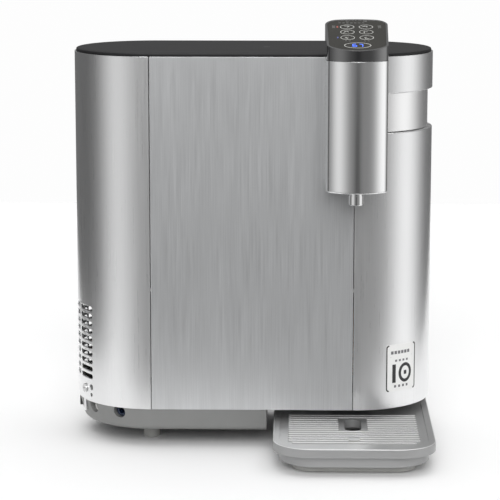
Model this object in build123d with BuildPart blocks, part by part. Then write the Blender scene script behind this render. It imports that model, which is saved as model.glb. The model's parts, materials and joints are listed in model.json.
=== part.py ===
"""Slim countertop water dispenser with a swivelling tap head and a swivelling drip tray.

Millimetres, +Z up. The origin is where the swivel axis of tap and tray meets the counter, +X is the
front of the cabinet. At rest the tap head and the tray are both swung to the -Y side.
"""
import math
import os

from build123d import *

os.makedirs("parts", exist_ok=True)

# ---- driving dimensions ------------------------------------------------------------------------
body_radius = 85.0  # half of the cabinet's width, and the radius of both rounded ends
axis_spacing = 215.0  # from the swivel axis back to the axis of the rear end
skin = 2.2  # wall of every outer cover
seam = 0.8  # visible joint between neighbouring covers
panel_bottom = 42.5
panel_top = 419.3
panel_height = panel_top - panel_bottom
skirt_bottom = 18.0
skirt_front = -92.0  # the skirt stops here, clear of the swinging tray
chassis_bottom = 42.2
floor_top = 45.0
upstand_height = 16.0
window_bottom = 339.0  # the open band that the tap arm sweeps through
window_top = 380.8
window_back = -29.0
collar_radius = 80.0
cover_top = 422.8
cover_inset = 1.7
post_radius = 22.0  # fixed post under the swivel axis
deck_bottom = 170.0
deck_top = 174.0
bearing_deck_bottom = 332.0
bearing_deck_top = 336.4
frame_bottom = 404.0
head_back = 87.5  # distances of the tap head from the swivel axis
head_front = 177.0
head_half_width = 31.0
head_back_half_width = 32.5
head_bottom = 289.2
visor_bottom = 422.6
head_front_top = 433.6
head_back_top = 458.8
head_back_bow = 3.5  # how far the corners of the back lie behind its middle
nozzle_distance = 146.0
nozzle_tip = 274.0
tray_half_width = 84.25
tray_front = 196.0
tray_top = 30.0
tray_back_radius = 89.0
running = 0.1  # radial clearance of a shaft that turns
loose = 0.3  # clearance between pieces of different bodies

inside = body_radius - skin
rear_plane = Plane((-axis_spacing, 0, 0))
slope = math.degrees(math.atan2(head_back_top - head_front_top, head_front - head_back))
ports = {"inlet": 25.0, "drain": 51.0}  # angle from -Y towards the rear, about the rear axis
screw_angles = (61.0, 119.0)
screw_height = 55.5
tab_angles = (63.0, 117.0)
tab_width = 4.5
tab_reach = 13.0
port_height = 37.5
gland_height = 33.0
filter_places = [(-258.0, 0.0), (-205.0, 42.0), (-205.0, -42.0)]
filter_radius = 27.0
post_places = [(-45.0, 76.0), (-45.0, -76.0), (-170.0, 76.0), (-170.0, -76.0), (-248.0, 66.0), (-248.0, -66.0)]
post_size = 7.0
compressor_x = -118.0
tank_x = -110.0
heater_x = 12.0
fan_x = -190.0
fan_z = 105.0


def save(part, name):
    """Label a finished piece and write it to its own file."""
    part.label = name
    export_step(part, f"parts/{name}.step")


def level(height, x=0.0, y=0.0):
    """A horizontal plane at a height, with its own origin."""
    return Plane((x, y, height))


def upright(x, y, z):
    """An upright plane that faces -Y, its own x along +X and its own y up."""
    return Plane((x, y, z), x_dir=(1, 0, 0), z_dir=(0, -1, 0))


def stadium(radius, mode=Mode.ADD):
    """The cabinet's plan outline: two half circles joined by straight sides."""
    with Locations((-axis_spacing / 2, 0)):
        SlotCenterToCenter(axis_spacing, 2 * radius, mode=mode)


def radial(angle, radius, centre_x=-axis_spacing):
    """A point round the rear axis, its angle counted from -Y towards the rear."""
    a = math.radians(angle)
    return centre_x - radius * math.sin(a), -radius * math.cos(a)


def tube(points, bends, radius, name):
    """A bent round tube along straight runs joined by arcs."""
    with BuildPart() as pipe:
        with BuildLine() as route:
            FilletPolyline(*points, radius=bends)
        start = Plane(origin=route.line @ 0, z_dir=route.line % 0)
        with BuildSketch(start):
            Circle(radius)
        sweep(path=route.line)
    save(pipe.part, name)


# ---- base --------------------------------------------------------------------------------------
def service_cuts():
    """Everything cut through the rear of the base: tube ports, notches for the tabs, and the gland hole."""
    with BuildPart() as cuts:
        for angle in ports.values():
            x, y = radial(angle, 100)
            with BuildSketch(Plane((x, y, port_height), z_dir=(x + axis_spacing, y, 0))):
                Circle(7)
            extrude(amount=-40)
        for angle in tab_angles:
            x, y = radial(angle, body_radius)
            with BuildSketch(Plane((x, y, panel_bottom - tab_reach - 1), x_dir=(-y, x + axis_spacing, 0))):
                Rectangle(tab_width + 1, 6)
            extrude(amount=tab_reach + 1)
        with BuildSketch(Plane((-axis_spacing - 100, 0, gland_height), z_dir=(-1, 0, 0))):
            Circle(7)
        extrude(amount=-40)
    return cuts.part


def base_chassis():
    """Floor of the cabinet and the upstand that carries the covers."""
    with BuildPart() as chassis:
        with BuildSketch(level(chassis_bottom)):
            stadium(inside - 0.3)
        extrude(amount=floor_top - chassis_bottom)
        with BuildSketch(level(floor_top)):
            stadium(inside - 0.3)
            stadium(inside - 2.8, mode=Mode.SUBTRACT)
        extrude(amount=upstand_height)
        for angle in screw_angles:
            x, y = radial(angle, 100)
            with BuildSketch(Plane((x, y, screw_height), z_dir=(x + axis_spacing, y, 0))):
                Circle(2)
            extrude(amount=-30, mode=Mode.SUBTRACT)
        with BuildSketch(level(chassis_bottom - 1)):
            with Locations((-165, -64), (-60, 60)):
                Circle(6)
            with Locations(*post_places):
                Rectangle(post_size - 3, post_size - 3)
            with Locations((0, 0)):
                Circle(14)
        extrude(amount=floor_top - chassis_bottom + 2, mode=Mode.SUBTRACT)
        add(service_cuts(), mode=Mode.SUBTRACT)
    save(chassis.part, "base_chassis")


def skirt():
    """Tapered skirt under the rear of the cabinet, open where the tray swings."""
    taper = 14.0
    step_height = 9.0
    with BuildPart() as ring:
        with BuildSketch(level(chassis_bottom)):
            stadium(body_radius - 0.8)
        extrude(amount=-(chassis_bottom - skirt_bottom), taper=taper)
        fillet(ring.faces().sort_by(Axis.Z)[0].edges(), 7.0)
        with BuildSketch(level(skirt_bottom - 1)):
            with Locations((skirt_front, 0)):
                Rectangle(300, 2.2 * body_radius, align=(Align.MIN, Align.CENTER))
        extrude(amount=chassis_bottom - skirt_bottom + 2, mode=Mode.SUBTRACT)
        for height, radius in ((skirt_bottom - 1, 66), (skirt_bottom + step_height, 75)):
            with BuildSketch(level(height)):
                with Locations((skirt_front - 4, 0)):
                    Rectangle(axis_spacing + skirt_front - 4, 2 * radius, align=(Align.MAX, Align.CENTER))
                with Locations((-axis_spacing, 0)):
                    Circle(radius)
            extrude(amount=chassis_bottom - skirt_bottom + 2, mode=Mode.SUBTRACT)
        add(service_cuts(), mode=Mode.SUBTRACT)
    save(ring.part, "skirt")


def bottom_pan():
    """Plate that closes the skirt from below, with a pressed bulge under the compressor."""
    with BuildPart() as pan:
        with BuildSketch(level(skirt_bottom + 0.2)):
            with Locations((skirt_front - 4.2, 0)):
                Rectangle(axis_spacing + skirt_front - 4.2, 131.4, align=(Align.MAX, Align.CENTER))
            with Locations((-axis_spacing, 0)):
                Circle(65.7)
        extrude(amount=1.6)
        with BuildSketch(level(skirt_bottom + 0.2, -153, 0)):
            RectangleRounded(44, 118, 12)
        extrude(amount=-4.5, taper=25)
        with BuildSketch(level(skirt_bottom + 0.2, -118, 0)):
            with GridLocations(6, 9, 3, 11):
                SlotOverall(20, 3, rotation=90)
        extrude(amount=2, mode=Mode.SUBTRACT)
    save(pan.part, "bottom_pan")


def pivot_post():
    """Fixed hollow post that carries the front of the cabinet and that the tray turns on."""
    with BuildPart() as post:
        with BuildSketch(level(2.5)):
            Circle(42)
        extrude(amount=1.7)
        with BuildSketch(level(4.2)):
            Circle(post_radius)
        extrude(amount=chassis_bottom - 4.2)
        with BuildSketch(level(8)):
            Circle(post_radius - 4)
        extrude(amount=panel_bottom - 8, mode=Mode.SUBTRACT)
    save(post.part, "pivot_post")


def feet():
    """Rubber pad under the post and the two rear feet, all in one plane."""
    with BuildPart() as rubber:
        with BuildSketch(level(0)):
            Circle(38)
        extrude(amount=2.5)
        with BuildSketch(level(0)):
            with Locations((-218, 30), (-218, -30)):
                Circle(9.5)
        extrude(amount=skirt_bottom + 0.2)
        chamfer(rubber.edges().group_by(Axis.Z)[0], 0.6)
    save(rubber.part, "feet")


# ---- outer covers ------------------------------------------------------------------------------
def half_shell(bottom, height, front):
    """A half-round cover on the front or the rear axis, stopped half a seam short of the tangent."""
    centre = 0 if front else -axis_spacing
    side = 1 if front else -1
    with BuildPart() as shell:
        with BuildSketch(level(bottom, centre)):
            Circle(body_radius)
            Circle(inside, mode=Mode.SUBTRACT)
            with Locations((side * seam / 2, 0)):
                Rectangle(body_radius, 2 * body_radius, align=(Align.MIN if front else Align.MAX, Align.CENTER),
                          mode=Mode.INTERSECT)
        extrude(amount=height)
    return shell.part


def rear_cover():
    """Rounded rear cover with ten rows of vent slots, two service holes a side and two locking tabs."""
    vent_rows = 10
    vent_pitch = 8.3
    vent_first = 70.2
    vent_height = 5.2
    vent_columns = [(50.0, 68.0), (70.5, 88.5), (91.5, 109.5), (112.0, 130.0)]
    with BuildPart() as cover:
        add(half_shell(panel_bottom, panel_height, False))
        for first, last in vent_columns:
            for row in range(vent_rows):
                middle = (first + last) / 2
                width = body_radius * math.radians(last - first)
                x, y = radial(middle, body_radius + 5)
                height = vent_first + row * vent_pitch
                with BuildSketch(Plane((x, y, height), x_dir=(-y, x + axis_spacing, 0),
                                       z_dir=(x + axis_spacing, y, 0))):
                    SlotOverall(width, vent_height)
                extrude(amount=-12, mode=Mode.SUBTRACT)
        for angle in (52, 128):
            for height, size in ((50.0, 2.0), (58.5, 3.2)):
                x, y = radial(angle, body_radius + 5)
                with BuildSketch(Plane((x, y, height), z_dir=(x + axis_spacing, y, 0))):
                    Circle(size)
                extrude(amount=-12, mode=Mode.SUBTRACT)
        for angle in screw_angles:
            x, y = radial(angle, body_radius + 5)
            with BuildSketch(Plane((x, y, screw_height), z_dir=(x + axis_spacing, y, 0))):
                Circle(2.1)
            extrude(amount=-12, mode=Mode.SUBTRACT)
        for angle in tab_angles:
            x, y = radial(angle, body_radius - skin / 2)
            with BuildSketch(Plane((x, y, panel_bottom - tab_reach), x_dir=(-y, x + axis_spacing, 0))):
                Rectangle(tab_width, skin - 0.4)
            extrude(amount=tab_reach + 2)
    save(cover.part, "rear_cover")


def side_panel(side, name):
    """Flat side panel with the notch that the tap arm sweeps into."""
    outer = side * body_radius
    with BuildPart() as panel:
        with BuildSketch(Plane((0, outer, 0), x_dir=(1, 0, 0), z_dir=(0, 1, 0))):
            with Locations((-axis_spacing / 2, -(panel_bottom + panel_top) / 2)):
                Rectangle(axis_spacing - seam, panel_height)
            with Locations((window_back / 2, -(window_bottom + window_top) / 2)):
                Rectangle(-window_back + 1, window_top - window_bottom, mode=Mode.SUBTRACT)
        extrude(amount=-side * skin)
        fillet(panel.faces().sort_by(Axis.Y)[-1 if side > 0 else 0].edges().filter_by(Axis.Z), 0.4)
    save(panel.part, name)


def front_covers():
    """Rounded front, in a lower and an upper part, each with a shelf next to the swivel collar."""
    half = {"align": (Align.MIN, Align.CENTER), "mode": Mode.INTERSECT}
    with BuildPart() as lower:
        add(half_shell(panel_bottom, window_bottom - panel_bottom, True))
        with BuildSketch(level(bearing_deck_top + 0.1)):
            Circle(inside)
            Circle(62, mode=Mode.SUBTRACT)
            with Locations((seam / 2, 0)):
                Rectangle(body_radius, 2 * body_radius, **half)
        extrude(amount=window_bottom - bearing_deck_top - 0.1)
        fillet(lower.faces().sort_by(Axis.Z)[-1].edges().filter_by(GeomType.CIRCLE).sort_by(SortBy.RADIUS)[-1], 0.8)
    save(lower.part, "front_lower_cover")
    with BuildPart() as upper:
        add(half_shell(window_top, panel_top - window_top, True))
        with BuildSketch(level(window_top)):
            Circle(inside)
            Circle(62, mode=Mode.SUBTRACT)
            with Locations((seam / 2, 0)):
                Rectangle(body_radius, 2 * body_radius, **half)
        extrude(amount=2.2)
        fillet(upper.faces().sort_by(Axis.Z)[0].edges().filter_by(GeomType.CIRCLE).sort_by(SortBy.RADIUS)[-1], 0.8)
    save(upper.part, "front_upper_cap")


def top_cover():
    """Flat lift-off lid with a locating rim below."""
    lid_radius = body_radius - cover_inset
    with BuildPart() as lid:
        with BuildSketch(level(panel_top + 0.6)):
            stadium(lid_radius)
        extrude(amount=cover_top - panel_top - 0.6)
        fillet(lid.faces().sort_by(Axis.Z)[-1].edges(), 1.6)
        with BuildSketch(level(panel_top + 0.6)):
            stadium(lid_radius - 3.5)
            stadium(lid_radius - 5.5, mode=Mode.SUBTRACT)
        extrude(amount=-6)
    save(lid.part, "top_cover")


def service_label():
    """Blank label plate on the rounded front."""
    with BuildPart() as label:
        with BuildSketch(level(60.5)):
            Circle(body_radius + 0.35)
            Circle(body_radius + 0.02, mode=Mode.SUBTRACT)
            with BuildLine():
                Polyline((0, 0), *[(120 * math.sin(math.radians(a)), -120 * math.cos(math.radians(a)))
                                   for a in (24.5, 38, 52)], (0, 0))
            make_face(mode=Mode.INTERSECT)
        extrude(amount=51.2)
    save(label.part, "service_label")


# ---- inner frame -------------------------------------------------------------------------------
def frame_posts():
    """Six columns from the floor to the top frame."""
    with BuildPart() as posts:
        with BuildSketch(level(floor_top)):
            with Locations(*post_places):
                RectangleRounded(post_size, post_size, 1)
        extrude(amount=frame_bottom - floor_top)
    save(posts.part, "frame_posts")


def top_frame():
    """Ring under the lid, open over the filters, closed over the swivel spigot."""
    with BuildPart() as frame:
        with BuildSketch(level(frame_bottom)):
            stadium(inside - 0.2)
        extrude(amount=3)
        with BuildSketch(level(frame_bottom + 3)):
            stadium(inside - 0.2)
            stadium(inside - 4, mode=Mode.SUBTRACT)
        extrude(amount=5)
        with BuildSketch(level(frame_bottom)):
            with Locations(*filter_places):
                Circle(filter_radius + 3)
            with Locations((-125, 0)):
                RectangleRounded(60, 100, 10)
            with Locations((35, 0)):
                SlotOverall(60, 16, rotation=90)
        extrude(amount=3, mode=Mode.SUBTRACT)
    save(frame.part, "top_frame")


def mid_deck():
    """Deck between the machine bay and the tank bay."""
    with BuildPart() as deck:
        with BuildSketch(level(deck_bottom)):
            stadium(inside - 0.4)
            with Locations(*post_places):
                Rectangle(post_size + 0.3, post_size + 0.3, mode=Mode.SUBTRACT)
            with Locations((-165, -64), (-60, 60), (-150, 0), (-60, 20), (heater_x - 12, 0), (heater_x + 12, 0)):
                Circle(7, mode=Mode.SUBTRACT)
        extrude(amount=deck_top - deck_bottom)
    save(deck.part, "mid_deck")


def bearing_deck():
    """Deck under the collar with the hollow spigot that tap and collar turn on."""
    with BuildPart() as deck:
        with BuildSketch(level(bearing_deck_bottom)):
            Circle(inside - 0.4)
            with Locations((-45, 0)):
                Rectangle(16, 164, align=(Align.MAX, Align.CENTER))
            Circle(15, mode=Mode.SUBTRACT)
            with Locations(*post_places[:2]):
                Rectangle(post_size + 0.3, post_size + 0.3, mode=Mode.SUBTRACT)
        extrude(amount=bearing_deck_top - bearing_deck_bottom)
        with BuildSketch(level(bearing_deck_top)):
            Circle(22)
            Circle(15, mode=Mode.SUBTRACT)
        extrude(amount=frame_bottom - bearing_deck_top)
        with BuildSketch(level(350)):
            with BuildLine():
                Polyline((0, 0), *[(40 * math.cos(math.radians(a)), 40 * math.sin(math.radians(a)))
                                   for a in (-108, -60, 0, 60, 108)], (0, 0))
            make_face()
        extrude(amount=20, mode=Mode.SUBTRACT)
    save(deck.part, "bearing_deck")
    with BuildPart() as washer:
        with BuildSketch(level(bearing_deck_top)):
            Circle(34)
            Circle(22.4, mode=Mode.SUBTRACT)
        extrude(amount=window_bottom + 0.2 - bearing_deck_top)
    save(washer.part, "collar_bearing")


# ---- cooling -----------------------------------------------------------------------------------
def compressor():
    """Hermetic compressor on rubber mounts, with its terminal cover."""
    shell_bottom = 59.0
    shell_radius = 44.0
    with BuildPart() as machine:
        with BuildSketch(level(shell_bottom + 1, compressor_x)):
            Circle(shell_radius)
        extrude(amount=98)
        fillet(machine.faces().sort_by(Axis.Z)[0].edges(), 9)
        fillet(machine.faces().sort_by(Axis.Z)[-1].edges(), 22)
        with BuildSketch(level(shell_bottom + 50, compressor_x)):
            Circle(shell_radius + 1.5)
        extrude(amount=4)
        with BuildSketch(level(shell_bottom - 2, compressor_x)):
            Circle(30)
        extrude(amount=6)
        with BuildSketch(level(shell_bottom - 2, compressor_x)):
            with PolarLocations(52, 3):
                Circle(10)
            Circle(46)
            with PolarLocations(52, 3):
                Circle(3.4, mode=Mode.SUBTRACT)
        extrude(amount=2)
    save(machine.part, "compressor")
    with BuildPart() as mounts:
        with BuildSketch(level(floor_top, compressor_x)):
            with PolarLocations(52, 3):
                Circle(7)
        extrude(amount=shell_bottom - 2 - floor_top)
        with BuildSketch(level(shell_bottom - 2, compressor_x)):
            with PolarLocations(52, 3):
                Circle(3.2)
        extrude(amount=6)
    save(mounts.part, "compressor_mounts")
    with BuildPart() as terminals:
        with BuildSketch(upright(compressor_x, -34, 100)):
            RectangleRounded(34, 30, 4)
        extrude(amount=18)
        with BuildSketch(level(80, compressor_x)):
            Circle(shell_radius + 1.8)
        extrude(amount=60, mode=Mode.SUBTRACT)
    save(terminals.part, "terminal_cover")


def condenser():
    """Fin block with a serpentine tube, in front of the rear vents."""
    centre_x = -235.0
    fin_pitch = 4.0
    rows = [70.0, 90.0, 110.0, 130.0]
    tube_radius = 3.0
    bend = 9.9
    reach = 60.0
    with BuildPart() as fins:
        for index in range(24):
            y = (index - 11.5) * fin_pitch
            with BuildSketch(Plane((centre_x, y - 0.3, fan_z), x_dir=(1, 0, 0), z_dir=(0, 1, 0))):
                Rectangle(30, 92)
                with Locations(*[(0, fan_z - row) for row in rows]):
                    Circle(tube_radius + 0.1, mode=Mode.SUBTRACT)
            extrude(amount=0.6)
    save(fins.part, "condenser_fins")
    points = [(centre_x, -reach, rows[0])]
    for index, row in enumerate(rows):
        side = 1 if index % 2 == 0 else -1
        if index:
            points.append((centre_x, -side * reach, row))
        points.append((centre_x, side * reach, row))
    tube(points[:-1] + [(centre_x, -50, rows[-1])], bend, tube_radius, "condenser_tube")


def fan():
    """Axial fan frame with a fixed pin, and the impeller that turns on it."""
    depth = 24.0
    back = fan_x - depth / 2
    with BuildPart() as housing:
        with BuildSketch(Plane((back, 0, fan_z), z_dir=(1, 0, 0))):
            RectangleRounded(92, 92, 4)
            Circle(43, mode=Mode.SUBTRACT)
            with GridLocations(82, 82, 2, 2):
                Circle(2.2, mode=Mode.SUBTRACT)
        extrude(amount=depth)
        with BuildSketch(Plane((back + depth - 3, 0, fan_z), z_dir=(1, 0, 0))):
            Circle(15)
            Rectangle(90, 5)
            Rectangle(5, 90)
        extrude(amount=3)
        with BuildSketch(Plane((back + depth - 3, 0, fan_z), z_dir=(-1, 0, 0))):
            Circle(2)
        extrude(amount=14)
    save(housing.part, "fan_frame")
    with BuildPart() as impeller:
        with BuildSketch(Plane((back + 3, 0, fan_z), z_dir=(1, 0, 0))):
            Circle(16)
        extrude(amount=17)
        with BuildSketch(Plane((back + 5, 0, fan_z), z_dir=(1, 0, 0))):
            Circle(2 + running / 2)
        extrude(amount=16, mode=Mode.SUBTRACT)
        for index in range(7):
            a = math.radians(index * 360 / 7)
            outward = (0, math.cos(a), math.sin(a))
            along = Vector(1, 0, 0) * math.cos(math.radians(38)) + Vector(
                0, -math.sin(a), math.cos(a)) * math.sin(math.radians(38))
            middle = (back + 11, 14 * outward[1], fan_z + 14 * outward[2])
            with BuildSketch(Plane(middle, x_dir=along, z_dir=outward)):
                RectangleRounded(18, 1.6, 0.7)
            extrude(amount=27)
    save(impeller.part, "fan_impeller")


def cold_tank():
    """Cold water tank with an evaporator wound round it, in a foam box of two halves."""
    tank_radius = 42.0
    tank_bottom = 186.0
    tank_height = 118.0
    coil_tube = 2.2
    with BuildPart() as tank:
        with BuildSketch(level(tank_bottom, tank_x)):
            Circle(tank_radius)
        extrude(amount=tank_height)
        fillet(tank.edges(), 12)
        with BuildSketch(level(tank_bottom + tank_height, tank_x)):
            with Locations((-15, 0), (15, 0)):
                Circle(4)
        extrude(amount=9)
        offset(amount=-1, openings=tank.faces().sort_by(Axis.Z)[-2:])
    save(tank.part, "cold_tank")
    with BuildPart() as coil:
        for turn in range(9):
            with BuildSketch(Plane((tank_x + tank_radius + coil_tube + 0.3, 0, tank_bottom + 18 + 9 * turn),
                                   x_dir=(1, 0, 0), z_dir=(0, -1, 0))):
                Circle(coil_tube)
            revolve(axis=Axis((tank_x, 0, 0), (0, 0, 1)))
        with BuildSketch(level(tank_bottom + 18, tank_x - tank_radius - coil_tube - 0.3)):
            Circle(coil_tube - 0.5)
        extrude(amount=72)
    save(coil.part, "evaporator_coil")
    for side, name in ((-1, "tank_foam_right"), (1, "tank_foam_left")):
        with BuildPart() as foam:
            with BuildSketch(level(deck_top, tank_x)):
                RectangleRounded(108, 112, 8)
            extrude(amount=144)
            with BuildSketch(level(tank_bottom - 0.5, tank_x)):
                Circle(tank_radius + 2 * coil_tube + 0.7)
            extrude(amount=tank_height + 1, mode=Mode.SUBTRACT)
            with BuildSketch(level(tank_bottom + tank_height, tank_x)):
                with Locations((-15, 0), (15, 0)):
                    Circle(4.3)
            extrude(amount=30, mode=Mode.SUBTRACT)
            split(bisect_by=Plane.XZ, keep=Keep.TOP if side < 0 else Keep.BOTTOM)
        save(foam.part, name)


# ---- hot water ---------------------------------------------------------------------------------
def heater():
    """Small pressure vessel on a foot ring, heated by an induction coil."""
    with BuildPart() as vessel:
        with BuildSketch(level(52, heater_x)):
            Circle(30)
        extrude(amount=112)
        fillet(vessel.edges(), 9)
        with BuildSketch(level(163, heater_x)):
            with Locations((-12, 0), (12, 0)):
                Circle(4)
        extrude(amount=8)
        offset(amount=-1.2, openings=vessel.faces().sort_by(Axis.Z)[-2:])
        with BuildSketch(level(floor_top, heater_x)):
            Circle(20)
            Circle(16, mode=Mode.SUBTRACT)
        extrude(amount=7.5)
    save(vessel.part, "heater_vessel")
    with BuildPart() as coil:
        with BuildSketch(upright(heater_x, 0, 70)):
            with Locations((30.3, 0)):
                Rectangle(7.7, 72, align=(Align.MIN, Align.MIN))
            with Locations(*[(38, 6 + 6 * step) for step in range(11)]):
                Circle(1.6, mode=Mode.SUBTRACT)
        revolve(axis=Axis((heater_x, 0, 0), (0, 0, 1)))
    save(coil.part, "induction_coil")


# ---- water treatment ---------------------------------------------------------------------------
def filters():
    """Three twist-lock cartridges on one manifold."""
    neck_bottom = 186.0
    body_bottom = 198.0
    body_top = 388.0
    with BuildPart() as manifold:
        with BuildSketch(level(deck_top)):
            with Locations(*filter_places):
                Circle(20)
            with BuildLine():
                Polyline(*filter_places, filter_places[0])
            make_face()
        extrude(amount=body_bottom - 0.5 - deck_top)
        with BuildSketch(level(body_bottom - 0.5)):
            with Locations(*filter_places):
                Circle(10 + loose)
        extrude(amount=-(body_bottom - neck_bottom), mode=Mode.SUBTRACT)
    save(manifold.part, "filter_manifold")
    for number, place in enumerate(filter_places, start=1):
        with BuildPart() as cartridge:
            with BuildSketch(level(body_bottom, *place)):
                Circle(filter_radius)
            extrude(amount=body_top - body_bottom)
            fillet(cartridge.edges(), 5)
            with BuildSketch(level(body_bottom + 1, *place)):
                Circle(10)
            extrude(amount=-(body_bottom + 1 - neck_bottom))
            with BuildSketch(level(body_top - 1, *place)):
                Rectangle(40, 7)
                Circle(11)
            extrude(amount=12)
            with BuildSketch(level(body_bottom + 60, *place)):
                Circle(filter_radius + 1)
                Circle(filter_radius - 0.8, mode=Mode.SUBTRACT)
            extrude(amount=1.5, mode=Mode.SUBTRACT)
        save(cartridge.part, f"filter_{number}")


def valves():
    """Inlet valve, pressure regulator, flow sensor and the three-way outlet block."""
    with BuildPart() as inlet:
        with BuildSketch(level(deck_top, -22, -52)):
            RectangleRounded(24, 24, 3)
        extrude(amount=22)
        with BuildSketch(level(deck_top + 22, -22, -52)):
            Circle(11)
        extrude(amount=30)
        chamfer(inlet.faces().sort_by(Axis.Z)[-1].edges(), 1)
    save(inlet.part, "inlet_valve")
    with BuildPart() as regulator:
        with BuildSketch(level(deck_top, 20, -48)):
            Circle(12)
        extrude(amount=18)
        with BuildSketch(level(deck_top + 18, 20, -48)):
            RegularPolygon(15, 6)
        extrude(amount=10)
        with BuildSketch(level(deck_top + 28, 20, -48)):
            Circle(9)
        extrude(amount=20)
    save(regulator.part, "pressure_regulator")
    with BuildPart() as meter:
        with BuildSketch(level(deck_top, -22, 50)):
            RectangleRounded(26, 26, 4)
        extrude(amount=16)
        with BuildSketch(level(deck_top + 16, -22, 50)):
            Circle(12)
        extrude(amount=10)
    save(meter.part, "flow_sensor")
    with BuildPart() as block:
        with BuildSketch(level(deck_top, 30, 0)):
            RectangleRounded(30, 66, 4)
        extrude(amount=24)
        with BuildSketch(level(deck_top + 24, 30, 0)):
            with GridLocations(1, 22, 1, 3):
                Circle(9.5)
        extrude(amount=34)
        with BuildSketch(level(deck_top + 58, 30, 0)):
            with GridLocations(1, 22, 1, 3):
                Circle(4)
        extrude(amount=4)
    save(block.part, "outlet_valves")


def boards():
    """Control board beside the cold tank and power board beside the heater."""
    with BuildPart() as main:
        with BuildSketch(upright(tank_x, 66, 250)):
            Rectangle(100, 120)
            with GridLocations(92, 112, 2, 2):
                Circle(1.8, mode=Mode.SUBTRACT)
        extrude(amount=1.6)
        with BuildSketch(upright(tank_x, 64.4, 250)):
            with GridLocations(24, 44, 3, 2):
                Rectangle(14, 14)
            with Locations((0, -50)):
                Rectangle(60, 8)
        extrude(amount=3)
    save(main.part, "control_board")
    with BuildPart() as power:
        with BuildSketch(upright(-2, 66, 112)):
            Rectangle(66, 106)
            with GridLocations(58, 98, 2, 2):
                Circle(1.8, mode=Mode.SUBTRACT)
        extrude(amount=1.6)
        with BuildSketch(upright(-2, 64.4, 112)):
            with GridLocations(22, 26, 2, 2):
                Circle(8)
            with Locations((0, 40)):
                Rectangle(50, 14)
        extrude(amount=14)
    save(power.part, "power_board")


def fittings():
    """Push-in tube fittings for supply and drain, and the gland for the supply cord."""
    for name, angle in ports.items():
        x, y = radial(angle, 78)
        with BuildPart() as fitting:
            outward = Plane((x, y, port_height), z_dir=(x + axis_spacing, y, 0))
            with BuildSketch(outward):
                Circle(5)
            extrude(amount=-17)
            with BuildSketch(outward.offset(-1.5)):
                Circle(6.3)
            extrude(amount=-1.6)
            with BuildSketch(outward):
                Circle(3.25)
            extrude(amount=-15, mode=Mode.SUBTRACT)
            chamfer(fitting.faces().sort_by(Axis((x, y, port_height), (x + axis_spacing, y, 0)))[-1].edges(), 0.5)
        save(fitting.part, f"{name}_fitting")
    with BuildPart() as gland:
        with BuildSketch(Plane((-axis_spacing - 84, 0, gland_height), z_dir=(-1, 0, 0))):
            Circle(6.8)
            Circle(3.6, mode=Mode.SUBTRACT)
        extrude(amount=-16)
    save(gland.part, "cord_gland")


def pipework():
    """Supply, cold, hot and refrigerant lines inside the cabinet."""
    water = 3.2
    x, y = radial(ports["inlet"], 61)
    inner_x, inner_y = radial(ports["inlet"], 44)
    tube([(x, y, port_height), (inner_x, inner_y, port_height), (-165, -64, port_height), (-165, -64, 182),
          (-34, -64, 182)], [6, 6, 10], water, "supply_tube")


# ---- tap ---------------------------------------------------------------------------------------
def head_outline(inset=0.0):
    """Plan of the tap head: slightly wider at the back, with a bowed front and a bowed back."""
    half = head_half_width - inset
    half_back = head_back_half_width - inset
    shoulder = -(head_front - 14 - inset * 0.4)
    back = -(head_back + inset)
    corner = back - head_back_bow
    nose = -(head_front - inset)
    with BuildLine() as line:
        Line((-half_back, corner), (-half, shoulder))
        ThreePointArc((-half, shoulder), (0, nose), (half, shoulder))
        Line((half, shoulder), (half_back, corner))
        ThreePointArc((half_back, corner), (0, back), (-half_back, corner))
    plan = make_face(line.edges(), mode=Mode.PRIVATE).face()
    plan = plan.fillet_2d(max(10.0 - inset, 2.0), plan.vertices().group_by(Axis.Y)[0])
    plan = plan.fillet_2d(max(15.0 - inset, 3.0), plan.vertices().group_by(Axis.Y)[-1])
    add(plan)


def swivel_collar():
    """Full ring that closes the window at every angle, on a sleeve round the spigot."""
    bottom = window_bottom + 0.4
    top = window_top - 0.4
    with BuildPart() as collar:
        with BuildSketch(level(bottom)):
            Circle(collar_radius)
            Circle(collar_radius - 2.5, mode=Mode.SUBTRACT)
        extrude(amount=top - bottom)
        with BuildSketch(level(bottom)):
            Circle(collar_radius - 1)
            Circle(22 + running, mode=Mode.SUBTRACT)
            with PolarLocations(52, 5, start_angle=18):
                Circle(13, mode=Mode.SUBTRACT)
        extrude(amount=3)
        with BuildSketch(level(bottom + 3)):
            Circle(27)
            Circle(22 + running, mode=Mode.SUBTRACT)
        extrude(amount=34)
        with BuildSketch(upright(0, -90, 360)):
            Rectangle(52.4, 32.4)
        extrude(amount=-35, mode=Mode.SUBTRACT)
        with BuildSketch(upright(0, -30, 360)):
            Circle(4.5)
        extrude(amount=-20, mode=Mode.SUBTRACT)
        fillet(collar.edges().filter_by(GeomType.CIRCLE).filter_by(lambda e: e.radius > 79.9), 0.6)
    save(collar.part, "swivel_collar")


def tap_arm():
    """Box-section arm from the collar's hub into the head."""
    with BuildPart() as arm:
        with BuildSketch(upright(0, -104, 360)):
            RectangleRounded(52, 32, 3)
            RectangleRounded(46, 26, 2, mode=Mode.SUBTRACT)
        extrude(amount=-77)
        with BuildSketch(level(340)):
            Circle(27.2)
        extrude(amount=40, mode=Mode.SUBTRACT)
    save(arm.part, "tap_arm")


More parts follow.
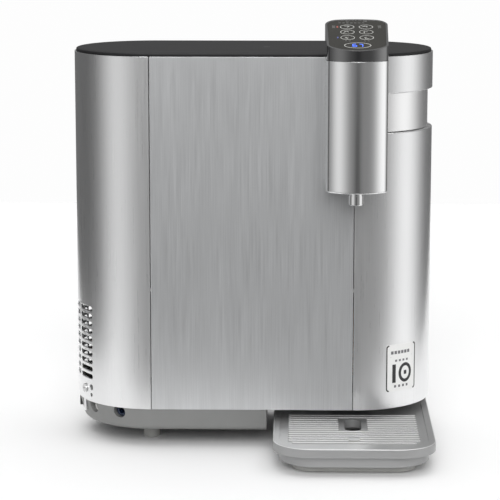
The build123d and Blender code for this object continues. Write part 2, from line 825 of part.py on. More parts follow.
def head_shell():
    """Metal shell of the tap head, open at the top and with a window for the bottom plate."""
    wall = 2.2
    with BuildPart() as shell:
        with BuildSketch(level(head_bottom)):
            head_outline()
        extrude(amount=visor_bottom - head_bottom)
        fillet(shell.faces().sort_by(Axis.Z)[0].edges(), 1.8)
        with BuildSketch(level(head_bottom + 4)):
            head_outline(wall)
        extrude(amount=visor_bottom - head_bottom, mode=Mode.SUBTRACT)
        with BuildSketch(level(head_bottom)):
            head_outline(8)
        extrude(amount=4, mode=Mode.SUBTRACT)
        with BuildSketch(upright(0, -head_back + 2, 360)):
            RectangleRounded(52.4, 32.4, 3)
        extrude(amount=11, mode=Mode.SUBTRACT)
    save(shell.part, "head_shell")


def head_visor():
    """Gloss black wedge on top of the head, with a recess for the glass."""
    top = Plane((0, -head_back, head_back_top), x_dir=(1, 0, 0), z_dir=Vector(0, -math.sin(math.radians(slope)),
                                                                               math.cos(math.radians(slope))))
    with BuildPart() as visor:
        with BuildSketch(level(visor_bottom + 0.3)):
            head_outline(0.15)
        extrude(amount=50)
        split(bisect_by=top, keep=Keep.BOTTOM)
        with BuildSketch(level(visor_bottom)):
            head_outline(2.4)
        extrude(amount=60, mode=Mode.SUBTRACT)
    save(visor.part, "head_visor")
    with BuildPart() as glass:
        with BuildSketch(level(visor_bottom)):
            head_outline(2.5)
        extrude(amount=60)
        split(bisect_by=top.offset(-0.3), keep=Keep.BOTTOM)
        split(bisect_by=top.offset(-2.3), keep=Keep.TOP)
    save(glass.part, "touch_glass")
    with BuildPart() as board:
        with BuildSketch(top.offset(-6)):
            with Locations((0, -46)):
                RectangleRounded(48, 70, 6)
        extrude(amount=1.6)
        with BuildSketch(top.offset(-4.4)):
            with Locations(*[(x, y) for x in (-10, 10) for y in (-18, -36, -54)]):
                Circle(5.5)
            with Locations((0, -73)):
                Ellipse(11, 7)
        extrude(amount=2)
    save(board.part, "touch_board")


def head_bottom_parts():
    """Bottom plate, nozzle with its holder, and the sterilising lamp beside it."""
    with BuildPart() as plate:
        with BuildSketch(level(head_bottom + 0.6)):
            head_outline(8.15)
            with Locations((0, -nozzle_distance)):
                Circle(9.2, mode=Mode.SUBTRACT)
            with Locations((0, -nozzle_distance + 26)):
                RectangleRounded(12, 6, 2, mode=Mode.SUBTRACT)
        extrude(amount=3.2)
    save(plate.part, "head_bottom_plate")
    with BuildPart() as nozzle:
        with BuildSketch(level(nozzle_tip, 0, -nozzle_distance)):
            Circle(7.5)
        extrude(amount=26)
        with BuildSketch(level(nozzle_tip + 10, 0, -nozzle_distance)):
            Circle(7.5)
            Circle(6.9, mode=Mode.SUBTRACT)
        extrude(amount=0.8, mode=Mode.SUBTRACT)
        with BuildSketch(level(nozzle_tip, 0, -nozzle_distance)):
            Circle(5.5)
        extrude(amount=18, mode=Mode.SUBTRACT)
        with BuildSketch(level(nozzle_tip + 18, 0, -nozzle_distance)):
            Circle(3)
        extrude(amount=8, mode=Mode.SUBTRACT)
        chamfer(nozzle.faces().sort_by(Axis.Z)[0].edges(), 0.7)
    save(nozzle.part, "nozzle")
    with BuildPart() as holder:
        with BuildSketch(level(head_bottom + 4, 0, -nozzle_distance)):
            Circle(14)
            Circle(7.5, mode=Mode.SUBTRACT)
        extrude(amount=10)
    save(holder.part, "nozzle_holder")
    with BuildPart() as lamp:
        with BuildSketch(level(head_bottom + 1, 0, -nozzle_distance + 26)):
            RectangleRounded(11.6, 5.6, 1.8)
        extrude(amount=5)
        with BuildSketch(level(head_bottom + 4, 0, -nozzle_distance + 26)):
            RectangleRounded(18, 13, 2)
        extrude(amount=4)
    save(lamp.part, "sterilising_lamp")
    tube([(0, 0, 338), (0, 0, 360), (0, -nozzle_distance, 360), (0, -nozzle_distance, nozzle_tip + 26)], [11, 12], 3,
         "tap_tube")


# ---- drip tray ---------------------------------------------------------------------------------
def tray_outline(inset, corner, slot):
    """Plan of the tray: straight sides, rounded front corners, a rear arc and a slot round the post."""
    half = tray_half_width - inset
    back_radius = tray_back_radius - inset
    front = -(tray_front - inset)
    shoulder = math.sqrt(back_radius ** 2 - half ** 2)
    with BuildLine() as line:
        Line((-half, shoulder), (-half, front))
        Line((-half, front), (half, front))
        Line((half, front), (half, shoulder))
        ThreePointArc((half, shoulder), (0, back_radius), (-half, shoulder))
    face = make_face(line.edges())
    fillet(face.vertices().group_by(Axis.Y)[0], corner)
    Circle(slot, mode=Mode.SUBTRACT)
    Rectangle(2 * slot, 120, align=(Align.CENTER, Align.MIN), mode=Mode.SUBTRACT)


def tray():
    """Swivel plate, foot, basin and ribbed grille of the drip tray."""
    plate_bottom = 4.5
    plate_top = 6.8
    with BuildPart() as plate:
        with BuildSketch(level(plate_bottom)):
            Circle(46)
            with Locations((0, -40)):
                Rectangle(48, 84, align=(Align.CENTER, Align.MAX))
            Circle(post_radius + running, mode=Mode.SUBTRACT)
            with Locations((0, -100)):
                SlotOverall(30, 10, rotation=90, mode=Mode.SUBTRACT)
        extrude(amount=plate_top - plate_bottom)
        fillet(plate.edges().filter_by(Axis.Z).group_by(Axis.Y)[0], 6)
    save(plate.part, "tray_swivel_plate")

    foot_slot = 47.0
    foot_inset = 20.0
    foot_corner = 20.0
    foot_wall = 3.5
    foot_top = 9.0
    with BuildPart() as foot:
        with BuildSketch(level(plate_top + 0.2)):
            tray_outline(14, 30, foot_slot)
        extrude(amount=foot_top - plate_top - 0.2)
        with BuildSketch(level(1)):
            tray_outline(foot_inset, foot_corner, foot_slot + 9)
        extrude(amount=6)
        with BuildSketch(level(1)):
            tray_outline(foot_inset + foot_wall, foot_corner - foot_wall, foot_slot + 9 - foot_wall)
        extrude(amount=6, mode=Mode.SUBTRACT)
        with BuildSketch(level(3)):
            with Locations((-26.5, -110), (26.5, -110)):
                Rectangle(4, 80)
        extrude(amount=4)
    save(foot.part, "tray_foot")

    slot = post_radius + 1.5
    basin_inset = 6.5
    basin_wall = 2.2
    basin_floor = foot_top + 2.5
    basin_top = tray_top - 4
    basin_back = 46.0
    with BuildPart() as basin:
        with BuildSketch(level(foot_top)):
            tray_outline(basin_inset, 40, slot)
        extrude(amount=basin_top - foot_top)
        with BuildSketch(level(basin_floor)):
            tray_outline(basin_inset + basin_wall, 40 - basin_wall, slot)
            with Locations((0, -basin_back)):
                Rectangle(200, 300, align=(Align.CENTER, Align.MIN), mode=Mode.SUBTRACT)
        extrude(amount=20, mode=Mode.SUBTRACT)
        with BuildSketch(level(basin_floor)):
            tray_outline(basin_inset + basin_wall, 40 - basin_wall, slot + basin_wall)
            with Locations((0, basin_wall - basin_back)):
                Rectangle(200, 300, align=(Align.CENTER, Align.MAX), mode=Mode.SUBTRACT)
        extrude(amount=20, mode=Mode.SUBTRACT)
    save(basin.part, "tray_basin")

    lip_bottom = 20.5
    plate_thickness = 3.4
    recess = 1.2
    rib_count = 14
    rib_first = 55.0
    rib_pitch = 8.7
    field_half = 68.5
    drain_centre = 94.5
    drain_length = 46.0
    drain_width = 17.8
    drain_margin = 15.0
    with BuildPart() as grille:
        with BuildSketch(level(lip_bottom)):
            tray_outline(0, 38, slot)
        extrude(amount=tray_top - lip_bottom)
        fillet(grille.faces().sort_by(Axis.Z)[-1].edges(), 1.2)
        with BuildSketch(level(lip_bottom)):
            tray_outline(2.2, 36, slot - 0.01)
        extrude(amount=tray_top - lip_bottom - plate_thickness, mode=Mode.SUBTRACT)
        with BuildSketch(level(tray_top - recess)):
            tray_outline(7, 31, slot + 6)
        extrude(amount=2, mode=Mode.SUBTRACT)
        with BuildSketch(level(tray_top - recess)):
            for index in range(rib_count):
                y = -rib_first - index * rib_pitch
                short = max(0.0, -y - (tray_front - 36)) ** 2 / 16
                if abs(y + drain_centre) < drain_length / 2 + 3:
                    for side in (-1, 1):
                        with Locations((side * (field_half + drain_margin) / 2, y)):
                            SlotOverall(field_half - drain_margin, 2.4)
                else:
                    with Locations((0, y)):
                        SlotOverall(2 * (field_half - short), 2.4)
        extrude(amount=recess - 0.1)
        with BuildSketch(level(lip_bottom)):
            with Locations((0, -drain_centre)):
                SlotOverall(drain_length, drain_width, rotation=90)
        extrude(amount=20, mode=Mode.SUBTRACT)
        with BuildSketch(level(lip_bottom)):
            with Locations((0, -drain_centre)):
                SlotOverall(drain_length + 3, drain_width + 3, rotation=90)
                SlotOverall(drain_length, drain_width, rotation=90, mode=Mode.SUBTRACT)
        extrude(amount=tray_top - lip_bottom - plate_thickness)
    save(grille.part, "tray_grille")


# ---- fasteners ---------------------------------------------------------------------------------
def screws():
    """Two screws that hold the rear cover, seen from behind."""
    with BuildPart() as pair:
        for angle in screw_angles:
            x, y = radial(angle, body_radius)
            outward = Plane((x, y, screw_height), z_dir=(x + axis_spacing, y, 0))
            with BuildSketch(outward.offset(0.25)):
                Circle(4.6)
                Rectangle(4.6, 1.0, mode=Mode.SUBTRACT)
            extrude(amount=1.4)
            with BuildSketch(outward.offset(0.25)):
                Circle(1.9)
            extrude(amount=-8)
    save(pair.part, "cover_screws")


base_chassis()
skirt()
bottom_pan()
pivot_post()
feet()
rear_cover()
side_panel(-1, "side_panel_right")
side_panel(1, "side_panel_left")
front_covers()
top_cover()
service_label()
frame_posts()
top_frame()
mid_deck()
bearing_deck()
compressor()
condenser()
fan()
cold_tank()
heater()
filters()
valves()
boards()
fittings()
pipework()
swivel_collar()
tap_arm()
head_shell()
head_visor()
head_bottom_parts()
tray()
screws()
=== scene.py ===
"""Looks of the slim countertop water dispenser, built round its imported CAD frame."""
import json
import math

import bmesh
import bpy
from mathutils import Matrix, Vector


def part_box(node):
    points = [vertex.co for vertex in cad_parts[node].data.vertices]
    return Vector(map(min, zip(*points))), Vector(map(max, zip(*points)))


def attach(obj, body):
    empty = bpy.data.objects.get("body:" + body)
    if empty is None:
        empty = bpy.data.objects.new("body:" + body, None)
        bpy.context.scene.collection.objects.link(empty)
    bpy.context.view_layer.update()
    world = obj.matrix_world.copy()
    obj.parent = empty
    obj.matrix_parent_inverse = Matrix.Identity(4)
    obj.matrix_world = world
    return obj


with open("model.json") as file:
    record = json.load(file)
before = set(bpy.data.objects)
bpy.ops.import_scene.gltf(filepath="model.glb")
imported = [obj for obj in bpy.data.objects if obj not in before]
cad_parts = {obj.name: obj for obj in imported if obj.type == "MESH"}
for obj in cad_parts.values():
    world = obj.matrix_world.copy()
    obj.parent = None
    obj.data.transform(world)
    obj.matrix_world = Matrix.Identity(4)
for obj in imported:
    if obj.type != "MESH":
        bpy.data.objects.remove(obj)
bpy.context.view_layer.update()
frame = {"nodes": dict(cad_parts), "record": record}
nodes = frame["nodes"]
scene = bpy.context.scene

MM = 0.001
PRINT_LIFT = 0.00003  # gap between a surface and what is printed on it
PRINT_DEPTH = 0.00005

SURROUND = 0.14  # even part of the surround's light
DARKEST = 0.02
PATCHES = [  # azimuth, elevation, tightness, strength
    (-52, -6, 9.0, 0.86),
    (84, -6, 8.0, 1.25),
    (20, -10, 3.0, 0.16),
    (3, -12, 70.0, -0.22),
    (180, 10, 2.0, 0.05),
    (0, 90, 2.0, 0.7),
]
BACKDROP = 0.985  # what the camera sees past the floor
FLOOR = [(-0.66, -0.29, 0), (0.42, -0.29, 0), (0.60, 1.6, 0), (-0.80, 1.6, 0)]
EYE = (-0.060, -2.3412, 0.6213)
TILT = 10.182
TURN = 1.256
LENS = 156.67


# ---- materials ---------------------------------------------------------------------------------
class Shader:
    """A Principled material whose colour, roughness and bump come from a small node graph."""

    def __init__(self, name, colour, roughness, metallic=0.0, **sockets):
        self.material = bpy.data.materials.new(name)
        self.material.use_nodes = True
        self.tree = self.material.node_tree
        self.shader = self.tree.nodes["Principled BSDF"]
        self.shader.inputs["Base Color"].default_value = (*colour, 1)
        self.shader.inputs["Roughness"].default_value = roughness
        self.shader.inputs["Metallic"].default_value = metallic
        for socket, value in sockets.items():
            self.shader.inputs[socket.replace("_", " ")].default_value = value
        self.place = self.node("ShaderNodeTexCoord").outputs["Object"]

    def node(self, kind, **settings):
        made = self.tree.nodes.new(kind)
        for key, value in settings.items():
            setattr(made, key, value)
        return made

    def link(self, source, target):
        self.tree.links.new(source, target)

    def noise(self, scale, detail=3.0, rough=0.6, stretch=(1, 1, 1)):
        """Noise in the object's own space, stretched along the axes, as a 0 to 1 value."""
        mapping = self.node("ShaderNodeMapping")
        mapping.inputs["Scale"].default_value = stretch
        self.link(self.place, mapping.inputs["Vector"])
        texture = self.node("ShaderNodeTexNoise")
        texture.inputs["Scale"].default_value = scale
        texture.inputs["Detail"].default_value = detail
        texture.inputs["Roughness"].default_value = rough
        self.link(mapping.outputs["Vector"], texture.inputs["Vector"])
        return texture.outputs["Fac"]

    def spread(self, value, low, high, start=0.25, end=0.75):
        """Maps the middle of a noise value onto low..high."""
        span = self.node("ShaderNodeMapRange")
        span.inputs["From Min"].default_value = start
        span.inputs["From Max"].default_value = end
        span.inputs["To Min"].default_value = low
        span.inputs["To Max"].default_value = high
        self.link(value, span.inputs["Value"])
        return span.outputs["Result"]

    def tint(self, value, dark, light):
        """Colours the surface between two tones by a 0 to 1 value."""
        mix = self.node("ShaderNodeMix", data_type="RGBA")
        mix.inputs["A"].default_value = (*dark, 1)
        mix.inputs["B"].default_value = (*light, 1)
        self.link(value, mix.inputs["Factor"])
        self.link(mix.outputs["Result"], self.shader.inputs["Base Color"])

    def roughness(self, value):
        self.link(value, self.shader.inputs["Roughness"])

    def bump(self, value, strength, distance, edge=0.0):
        """Fine relief, on normals that are rounded off at edges when an edge radius is given."""
        bump = self.node("ShaderNodeBump")
        bump.inputs["Strength"].default_value = strength
        bump.inputs["Distance"].default_value = distance
        if edge:
            rounded = self.node("ShaderNodeBevel", samples=6)
            rounded.inputs["Radius"].default_value = edge
            self.link(rounded.outputs["Normal"], bump.inputs["Normal"])
        self.link(value, bump.inputs["Height"])
        self.link(bump.outputs["Normal"], self.shader.inputs["Normal"])


def grey(value, warm=0.0):
    """A grey, a little warmer or cooler when asked."""
    return (value * (1 + warm), value, value * (1 - warm))


def brushed(name, tone, roughness, contrast, grain=900.0, depth=0.25, warm=0.0, edge=0.0):
    """Metal with fine upright brush lines, a slower cloudiness and small changes of gloss."""
    made = Shader(name, grey(tone, warm), roughness, 1.0)
    fine = made.noise(grain, 4.0, 0.65, (1, 1, 0.012))
    cloud = made.noise(60.0, 2.0, 0.5, (1, 1, 0.15))
    both = made.node("ShaderNodeMath", operation="MULTIPLY_ADD")
    both.inputs[1].default_value = 0.85
    made.link(fine, both.inputs[0])
    weak = made.spread(cloud, 0.0, 0.15, 0.3, 0.7)
    made.link(weak, both.inputs[2])
    factor = made.spread(both.outputs["Value"], 0.0, 1.0, 0.32, 0.72)
    made.tint(factor, grey(tone * (1 - contrast), warm), grey(tone * (1 + contrast), warm))
    made.roughness(made.spread(fine, roughness - 0.04, roughness + 0.04))
    made.bump(fine, depth, 0.00003, edge)
    return made.material


def moulded(name, colour, roughness, texture=900.0, depth=0.15, contrast=0.06, metallic=0.0, edge=0.0,
            **sockets):
    """Moulded plastic, rubber or paint with a fine skin texture and faint mottling."""
    made = Shader(name, colour, roughness, metallic, **sockets)
    skin = made.noise(texture, 3.0, 0.6)
    cloud = made.noise(35.0, 3.0, 0.6)
    made.tint(made.spread(cloud, 0.0, 1.0), tuple(c * (1 - contrast) for c in colour),
              tuple(min(1.0, c * (1 + contrast)) for c in colour))
    made.roughness(made.spread(skin, max(0.02, roughness - 0.06), roughness + 0.06))
    made.bump(skin, depth, 0.0001, edge)
    return made.material


def ribbed(name, colour, rib_highlight_colour, low, high):
    """Tray plastic with a painted highlight: the rib tops, between two heights, are coloured lighter than
    the field between them.
    """
    made = Shader(name, colour, 0.36, 0.35)
    skin = made.noise(1300.0, 3.0, 0.6)
    split = made.node("ShaderNodeSeparateXYZ")
    made.link(made.place, split.inputs["Vector"])
    above = made.node("ShaderNodeMath", operation="GREATER_THAN")
    above.inputs[1].default_value = low
    below = made.node("ShaderNodeMath", operation="LESS_THAN")
    below.inputs[1].default_value = high
    both = made.node("ShaderNodeMath", operation="MULTIPLY")
    made.link(split.outputs["Z"], above.inputs[0])
    made.link(split.outputs["Z"], below.inputs[0])
    made.link(above.outputs["Value"], both.inputs[0])
    made.link(below.outputs["Value"], both.inputs[1])
    # painted highlight: faces lying between the two heights (the rib tops) get the lighter colour
    made.tint(both.outputs["Value"], colour, rib_highlight_colour)
    made.roughness(made.spread(skin, 0.30, 0.42))
    made.bump(skin, 0.1, 0.0001, 0.0005)
    return made.material


def board(name):
    """Solder mask with a faint pattern of tracks under it."""
    made = Shader(name, (0.02, 0.12, 0.05), 0.35, 0.0, Coat_Weight=0.3)
    mapping = made.node("ShaderNodeMapping")
    mapping.inputs["Scale"].default_value = (260, 260, 260)
    made.link(made.place, mapping.inputs["Vector"])
    cells = made.node("ShaderNodeTexVoronoi", distance="CHEBYCHEV", feature="F1")
    cells.inputs["Scale"].default_value = 1.0
    made.link(mapping.outputs["Vector"], cells.inputs["Vector"])
    tracks = made.spread(cells.outputs["Distance"], 0.0, 1.0, 0.42, 0.5)
    made.tint(tracks, (0.02, 0.12, 0.05), (0.05, 0.26, 0.10))
    made.bump(cells.outputs["Distance"], 0.2, 0.0001)
    return made.material


def glow(name, colour, strength):
    """A lit segment seen through the glass."""
    made = Shader(name, colour, 0.4, 0.0, Emission_Color=(*colour, 1), Emission_Strength=strength)
    made.bump(made.noise(2000.0), 0.05, 0.00005)
    return made.material


grille_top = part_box("tray_grille")[1].z
looks = {
    "satin_cover": brushed("satin_cover", 0.86, 0.30, 0.025, 1100.0, 0.08, -0.004, 0.0006),
    "side_metal": brushed("side_metal", 0.66, 0.40, 0.085, 1000.0, 0.22, -0.012, 0.0006),
    "head_metal": brushed("head_metal", 0.84, 0.15, 0.02, 1300.0, 0.04, -0.003, 0.0005),
    "collar_white": brushed("collar_white", 0.97, 0.32, 0.015, 1100.0, 0.05, 0.0, 0.0005),
    "gloss_black": moulded("gloss_black", (0.008, 0.008, 0.009), 0.10, 500.0, 0.02, 0.2, edge=0.0004,
                           Coat_Weight=1.0, Coat_IOR=2.0, Specular_IOR_Level=0.9),
    "lid_black": moulded("lid_black", (0.022, 0.022, 0.023), 0.40, 1500.0, 0.10, 0.1,
                         Specular_IOR_Level=0.15),
    "panel_glass": moulded("panel_glass", (0.030, 0.029, 0.025), 0.16, 400.0, 0.01, 0.1,
                           Specular_IOR_Level=0.2),
    "base_plastic": moulded("base_plastic", (0.21, 0.212, 0.208), 0.42, 1200.0, 0.10, 0.03),
    # grey(0.62) is the painted highlight on the tray's rib tops, against the 0.33 field
    "tray_plastic": ribbed("tray_plastic", grey(0.33, -0.004), grey(0.62), grille_top - 0.0006,
                           grille_top - 0.00005),
    "dark_plastic": moulded("dark_plastic", (0.025, 0.025, 0.026), 0.5, 1000.0, 0.2, 0.1),
    "rubber_grey": moulded("rubber_grey", (0.40, 0.40, 0.385), 0.6, 900.0, 0.3, 0.06),
    "stainless": brushed("stainless", 0.80, 0.10, 0.03, 1500.0, 0.03),
    "inner_plastic": moulded("inner_plastic", (0.70, 0.70, 0.68), 0.45, 1000.0, 0.12, 0.04),
    "compressor_black": moulded("compressor_black", (0.012, 0.012, 0.013), 0.22, 300.0, 0.2, 0.2,
                                Coat_Weight=0.5),
    "fin_aluminium": brushed("fin_aluminium", 0.80, 0.34, 0.05, 900.0, 0.1),
    "copper": moulded("copper", (0.78, 0.36, 0.20), 0.28, 700.0, 0.1, 0.12, 1.0),
    "zinc_steel": moulded("zinc_steel", (0.60, 0.62, 0.63), 0.4, 120.0, 0.1, 0.18, 1.0),
    "foam": moulded("foam", (0.05, 0.05, 0.052), 0.85, 1600.0, 0.6, 0.2),
    "board_green": board("board_green"),
    "filter_white": moulded("filter_white", (0.86, 0.86, 0.85), 0.35, 900.0, 0.08, 0.02),
    "label_white": moulded("label_white", (0.86, 0.86, 0.85), 0.45, 1500.0, 0.05, 0.015),
    "lamp_clear": moulded("lamp_clear", (0.62, 0.72, 0.82), 0.15, 800.0, 0.05, 0.04, Coat_Weight=0.5),
    "tube_blue": moulded("tube_blue", (0.012, 0.022, 0.05), 0.25, 900.0, 0.05, 0.1),
    "screw_steel": brushed("screw_steel", 0.62, 0.28, 0.05, 1500.0, 0.1),
}
for part in frame["record"]["subparts"]:
    mesh = nodes[part["node"]].data
    mesh.materials.clear()
    mesh.materials.append(looks[part["material_slot"]])

label_ink = moulded("label_ink", (0.022, 0.022, 0.024), 0.5, 1500.0, 0.05, 0.1)
label_soft = moulded("label_soft", (0.16, 0.16, 0.17), 0.5, 1500.0, 0.05, 0.1)
mark_white = moulded("mark_white", (0.50, 0.50, 0.48), 0.4, 1500.0, 0.03, 0.12)
mark_dim = moulded("mark_dim", (0.17, 0.17, 0.165), 0.4, 1500.0, 0.03, 0.2)
mark_red = moulded("mark_red", (0.32, 0.07, 0.05), 0.4, 1500.0, 0.03, 0.1)
mark_blue = moulded("mark_blue", (0.07, 0.09, 0.30), 0.4, 1500.0, 0.03, 0.1)
digit_glow = glow("digit_glow", (0.06, 0.16, 0.95), 1.3)
lid_mark = moulded("lid_mark", (0.10, 0.10, 0.10), 0.4, 1500.0, 0.05, 0.1)
# near-black painted shade, standing in for the shadow inside a fine groove round the lid
lid_groove_shade = moulded("lid_groove_shade", (0.006, 0.006, 0.006), 0.6, 1500.0, 0.05, 0.1)


# ---- printed and small parts -------------------------------------------------------------------
def piece(name, shapes, material, body, thickness, place):
    """Closed flat outlines in a plane, given thickness and put in place: one object riding on a body."""
    mesh = bpy.data.meshes.new(name)
    made = bmesh.new()
    for outer, inner in shapes:
        count = len(outer)
        low = [made.verts.new(place(x, y, 0.0)) for x, y in outer]
        high = [made.verts.new(place(x, y, thickness)) for x, y in outer]
        if inner:
            low_in = [made.verts.new(place(x, y, 0.0)) for x, y in inner]
            high_in = [made.verts.new(place(x, y, thickness)) for x, y in inner]
        else:
            made.faces.new(high)
            made.faces.new(low[::-1])
        for i in range(count):
            j = (i + 1) % count
            made.faces.new((low[i], low[j], high[j], high[i]))
            if inner:
                made.faces.new((low_in[j], low_in[i], high_in[i], high_in[j]))
                made.faces.new((high[i], high[j], high_in[j], high_in[i]))
                made.faces.new((low[j], low[i], low_in[i], low_in[j]))
    made.to_mesh(mesh)
    made.free()
    mesh.materials.append(material)
    made_object = bpy.data.objects.new(name, mesh)
    scene.collection.objects.link(made_object)
    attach(made_object, body)


def oval(x, y, half_x, half_y, count=48):
    """Points round an ellipse."""
    return [(x + half_x * math.cos(math.tau * i / count), y + half_y * math.sin(math.tau * i / count))
            for i in range(count)]


def ring(x, y, half_x, half_y, line):
    """An elliptical line."""
    return oval(x, y, half_x, half_y), oval(x, y, half_x - line, half_y - line)


def bar(x, y, width, height, turn=0.0):
    """A bar, turned about its middle."""
    c, s = math.cos(turn), math.sin(turn)
    corners = ((-width, -height), (width, -height), (width, height), (-width, height))
    return [(x + (a * c - b * s) / 2, y + (a * s + b * c) / 2) for a, b in corners], None


def rounded(x, y, half_x, half_y, radius, count=8):
    """Points round a rectangle with round corners."""
    points = []
    for corner in range(4):
        centre_x = x + (half_x - radius) * (1 if corner in (0, 3) else -1)
        centre_y = y + (half_y - radius) * (1 if corner in (0, 1) else -1)
        for step in range(count + 1):
            a = math.pi / 2 * (corner + step / count)
            points.append((centre_x + radius * math.cos(a), centre_y + radius * math.sin(a)))
    return points


def digit(segments, x, y, width, height, line):
    """Lit bars of one seven-segment figure."""
    half = height / 2
    spots = {"a": (0, half, 0), "g": (0, 0, 0), "d": (0, -half, 0), "f": (-width / 2, half / 2, 1),
             "b": (width / 2, half / 2, 1), "e": (-width / 2, -half / 2, 1), "c": (width / 2, -half / 2, 1)}
    bars = []
    for name in segments:
        dx, dy, is_upright = spots[name]
        size = (line, half - line) if is_upright else (width - line, line)
        bars.append(bar(x + dx, y + dy, *size))
    return bars


def touch_marks():
    """Six ringed touch symbols, small marks beside them, and the lit display, on the sloping glass."""
    glass = nodes["touch_glass"].data
    tops = [f for f in glass.polygons if 0.8 < f.normal.z < 0.999 and abs(f.normal.x) < 0.01]
    normal = sum((f.normal * f.area for f in tops), Vector()).normalized()
    level = max(normal.dot(v.co) for v in glass.vertices)
    uphill = Vector((0, 1, 0)) - normal * normal.y
    uphill.normalize()
    low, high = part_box("touch_glass")
    back = Vector((0, high.y, (level - normal.y * high.y) / normal.z))
    length = (high.y - low.y) / uphill.y

    def place(x, y, height):
        """x across, y up the slope from the back edge."""
        return back + Vector((x, 0, 0)) + uphill * y + normal * (PRINT_LIFT + height)

    rows = [-0.225 * length, -0.395 * length, -0.58 * length]
    shapes = []
    strokes = []
    for row_number, row in enumerate(rows):
        for side in (-1, 1):
            middle = side * 9.6 * MM
            shapes.append(ring(middle, row, 7.3 * MM, 6.2 * MM, 0.75 * MM))
            for step in range(3):
                turn = (row_number * 2 + (side + 1) / 2) * 0.6 + step * 1.05
                reach = (1.2 + 0.8 * step) * MM
                strokes.append(bar(middle + reach * math.cos(turn), row + reach * math.sin(turn),
                                   3.4 * MM, 0.8 * MM, turn + 0.8))
    piece("symbol_rings", shapes, mark_white, "tap", PRINT_DEPTH, place)
    piece("symbol_strokes", strokes, mark_white, "tap", PRINT_DEPTH, place)
    notes = [bar((-17 + 4 * i) * MM, rows[0] + 12 * MM, 2.4 * MM, 1.2 * MM) for i in range(7)]
    notes.append(bar(9.0 * MM, rows[0] + 17 * MM, 3.6 * MM, 1.6 * MM))
    notes.append(bar(-9.0 * MM, rows[0] + 17 * MM, 3.0 * MM, 1.0 * MM))
    for x in (-23.5, 23.5):
        notes += [bar(x * MM, rows[0] + dy * MM, 3.2 * MM, 1.1 * MM) for dy in (-2.4, 0.4, 3.0)]
    for side in (-1, 1):
        notes += [bar(side * 9.6 * MM + dx * MM, rows[2] - 9.6 * MM, 1.8 * MM, 1.0 * MM) for dx in (-2, 2)]
    piece("symbol_notes", notes, mark_dim, "tap", PRINT_DEPTH, place)
    warm = bar(-19.6 * MM, rows[0], 1.6 * MM, 5.0 * MM)
    cool = bar(-19.6 * MM, rows[2], 1.6 * MM, 4.0 * MM)
    piece("warm_mark", [warm], mark_red, "tap", PRINT_DEPTH, place)
    piece("cool_mark", [cool], mark_blue, "tap", PRINT_DEPTH, place)
    display = -0.835 * length
    round_display = ring(0, display, 13.6 * MM, 7.8 * MM, 0.85 * MM)
    piece("display_ring", [round_display], mark_white, "tap", PRINT_DEPTH, place)
    lit = digit("acdefg", -3.0 * MM, display, 3.6 * MM, 7.2 * MM, 1.0 * MM)
    lit += digit("abc", 3.2 * MM, display, 3.6 * MM, 7.2 * MM, 1.0 * MM)
    piece("display_digits", lit, digit_glow, "tap", PRINT_DEPTH, place)


def label_print():
    """Frame, rule, bars and ring printed on the blank label; no lettering."""
    low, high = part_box("service_label")
    corners = [v.co for v in nodes["service_label"].data.vertices]
    radius = max(math.hypot(c.x, c.y) for c in corners)
    angles = [math.atan2(c.x, -c.y) for c in corners]
    first, last = min(angles), max(angles)
    middle = (first + last) / 2
    half_x = radius * (last - first) / 2
    half_y = (high.z - low.z) / 2
    centre_z = (high.z + low.z) / 2

    def place(x, y, height):
        """Round the cover, x along the arc."""
        reach = radius + PRINT_LIFT + height
        angle = middle + x / radius
        return Vector((reach * math.sin(angle), -reach * math.cos(angle), centre_z + y))

    frame_line = (rounded(0, 0, half_x - 0.2 * MM, half_y - 0.2 * MM, 3 * MM),
                  rounded(0, 0, half_x - 1.6 * MM, half_y - 1.6 * MM, 2 * MM))
    print_bars = [bar((-13 + 4.4 * i) * MM, 17 * MM, 3.2 * MM, 3.4 * MM) for i in range(6)]
    print_bars += [bar((-8 + 5.0 * i) * MM, 8.0 * MM, 2.6 * MM, 2.2 * MM) for i in range(4)]
    print_bars += [bar((-9 + 5.4 * i) * MM, -20.0 * MM, 2.6 * MM, 2.6 * MM) for i in range(4)]
    piece("label_frame", [frame_line], label_ink, "cabinet", PRINT_DEPTH, place)
    print_bars.append(bar(0, 12.2 * MM, 30 * MM, 0.5 * MM))
    piece("label_bars", print_bars, label_soft, "cabinet", PRINT_DEPTH, place)
    sign = [ring(4.6 * MM, -6.0 * MM, 9.2 * MM, 10.6 * MM, 3.4 * MM),
            bar(-10.5 * MM, -6.0 * MM, 4.4 * MM, 20 * MM),
            bar(4.6 * MM, -6.0 * MM, 3.6 * MM, 4.2 * MM)]
    piece("label_ring", sign, label_ink, "cabinet", PRINT_DEPTH, place)


def lid_details():
    """Painted shade of a fine groove round the lid, as a thin near-black strip, and a small etched mark."""
    low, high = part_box("top_cover")
    half = (high.y - low.y) / 2
    front = high.x - half
    rear = low.x + half

    def place(x, y, height):
        return Vector((x, y, high.z + 0.00002 + height))

    def outline(inset, count=48):
        points = []
        for centre, start in ((front, -math.pi / 2), (rear, math.pi / 2)):
            for step in range(count + 1):
                a = start + math.pi * step / count
                points.append((centre + (half - inset) * math.cos(a), (half - inset) * math.sin(a)))
        return points

    # no groove is cut: this thin near-black strip on the lid is the groove's painted shade
    groove = (outline(0.0042), outline(0.0052))
    piece("lid_groove_shade", [groove], lid_groove_shade, "lid", 0.00004, place)
    mark_x = front - 0.093
    etched = [ring(mark_x, 0, 0.003, 0.007, 0.0008), bar(mark_x, 0, 0.0012, 0.008)]
    piece("lid_mark", etched, lid_mark, "lid", 0.00004, place)


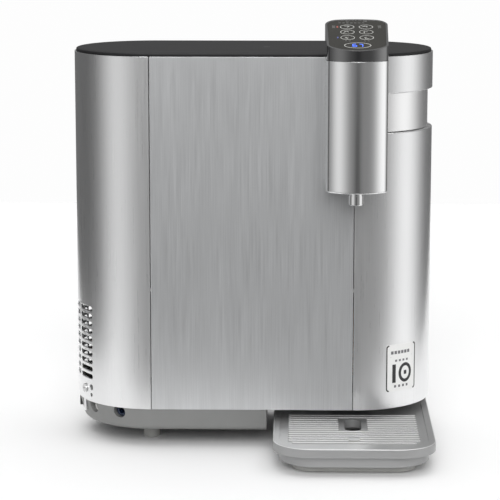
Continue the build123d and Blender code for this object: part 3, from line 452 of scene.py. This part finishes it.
def tray_disc():
    """Small round mark with a dash each side, moulded on the tray near its front."""
    low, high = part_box("tray_grille")

    def place(x, y, height):
        return Vector((x, y, high.z - 0.0011 + height))

    y = low.y + 0.040
    disc = (oval(0, y, 0.0062, 0.0062), None)
    dashes = [bar(-0.0082, y, 0.0022, 0.0016), bar(0.0082, y, 0.0022, 0.0016),
              ring(0, y, 0.0070, 0.0070, 0.0009)]
    piece("tray_disc", [disc], looks["tray_plastic"], "grille", 0.00125, place)
    piece("tray_dashes", dashes, looks["rubber_grey"], "grille", 0.0013, place)


touch_marks()
label_print()
lid_details()
tray_disc()


# ---- stage, light and camera -------------------------------------------------------------------
def bright_side(tree, direction, azimuth, elevation, power, gain):
    """A soft bright patch of the surround, as seen by reflections; azimuth 0 is -Y and +90 is +X."""
    a, e = math.radians(azimuth), math.radians(elevation)
    toward = (math.sin(a) * math.cos(e), -math.cos(a) * math.cos(e), math.sin(e))
    dot = tree.nodes.new("ShaderNodeVectorMath")
    dot.operation = "DOT_PRODUCT"
    dot.inputs[1].default_value = toward
    tree.links.new(direction, dot.inputs[0])
    steps = (("MAXIMUM", 0.0), ("POWER", power), ("MULTIPLY", gain))
    value = dot.outputs["Value"]
    for operation, amount in steps:
        step = tree.nodes.new("ShaderNodeMath")
        step.operation = operation
        step.inputs[1].default_value = amount
        tree.links.new(value, step.inputs[0])
        value = step.outputs["Value"]
    return value


def studio():
    """White floor, and a surround that the camera sees as plain white and reflections see as a studio."""
    floor_mesh = bpy.data.meshes.new("floor")
    floor_mesh.from_pydata([Vector(c) for c in FLOOR], [], [(0, 1, 2, 3)])
    floor = bpy.data.objects.new("floor", floor_mesh)
    scene.collection.objects.link(floor)
    paint = Shader("floor_paint", grey(0.90), 0.9)
    paint.tint(paint.spread(paint.noise(3.0), 0.0, 1.0), grey(0.895), grey(0.905))
    floor_mesh.materials.append(paint.material)
    world = bpy.data.worlds.new("surround")
    scene.world = world
    world.use_nodes = True
    tree = world.node_tree
    tree.nodes.clear()
    direction = tree.nodes.new("ShaderNodeTexCoord").outputs["Generated"]
    total = None
    for patch in PATCHES:
        value = bright_side(tree, direction, *patch)
        if total is not None:
            added = tree.nodes.new("ShaderNodeMath")
            tree.links.new(total, added.inputs[0])
            tree.links.new(value, added.inputs[1])
            value = added.outputs["Value"]
        total = value
    base = tree.nodes.new("ShaderNodeMath")
    base.inputs[1].default_value = SURROUND
    tree.links.new(total, base.inputs[0])
    dark = tree.nodes.new("ShaderNodeMath")
    dark.operation = "MAXIMUM"
    dark.inputs[1].default_value = DARKEST
    tree.links.new(base.outputs["Value"], dark.inputs[0])
    ambient = tree.nodes.new("ShaderNodeBackground")
    tree.links.new(dark.outputs["Value"], ambient.inputs["Strength"])
    backdrop = tree.nodes.new("ShaderNodeBackground")
    backdrop.inputs["Color"].default_value = (*grey(BACKDROP), 1)
    path = tree.nodes.new("ShaderNodeLightPath")
    mix = tree.nodes.new("ShaderNodeMixShader")
    output = tree.nodes.new("ShaderNodeOutputWorld")
    tree.links.new(path.outputs["Is Camera Ray"], mix.inputs["Fac"])
    tree.links.new(ambient.outputs["Background"], mix.inputs[1])
    tree.links.new(backdrop.outputs["Background"], mix.inputs[2])
    tree.links.new(mix.outputs["Shader"], output.inputs["Surface"])


def lamp(name, energy, spread, tilt, lean=0.0):
    """Soft sunlight tipped from straight above toward the front, and sideways when asked."""
    light = bpy.data.lights.new(name, "SUN")
    light.energy = energy
    light.angle = math.radians(spread)
    made = bpy.data.objects.new(name, light)
    scene.collection.objects.link(made)
    made.rotation_euler = (math.radians(tilt), math.radians(lean), 0)


def camera():
    """A long lens in front of the flat side, above the lid and tilted down."""
    data = bpy.data.cameras.new("camera")
    data.sensor_width = 36.0
    data.lens = LENS
    data.clip_start = 0.1
    data.clip_end = 50.0
    eye = bpy.data.objects.new("camera", data)
    scene.collection.objects.link(eye)
    eye.location = EYE
    eye.rotation_euler = (math.radians(90 - TILT), 0, math.radians(TURN))
    scene.camera = eye


studio()
lamp("overhead", 1.5, 70, -8, 4)
lamp("frontal", 1.7, 40, 60)
camera()
scene.view_settings.view_transform = "Standard"
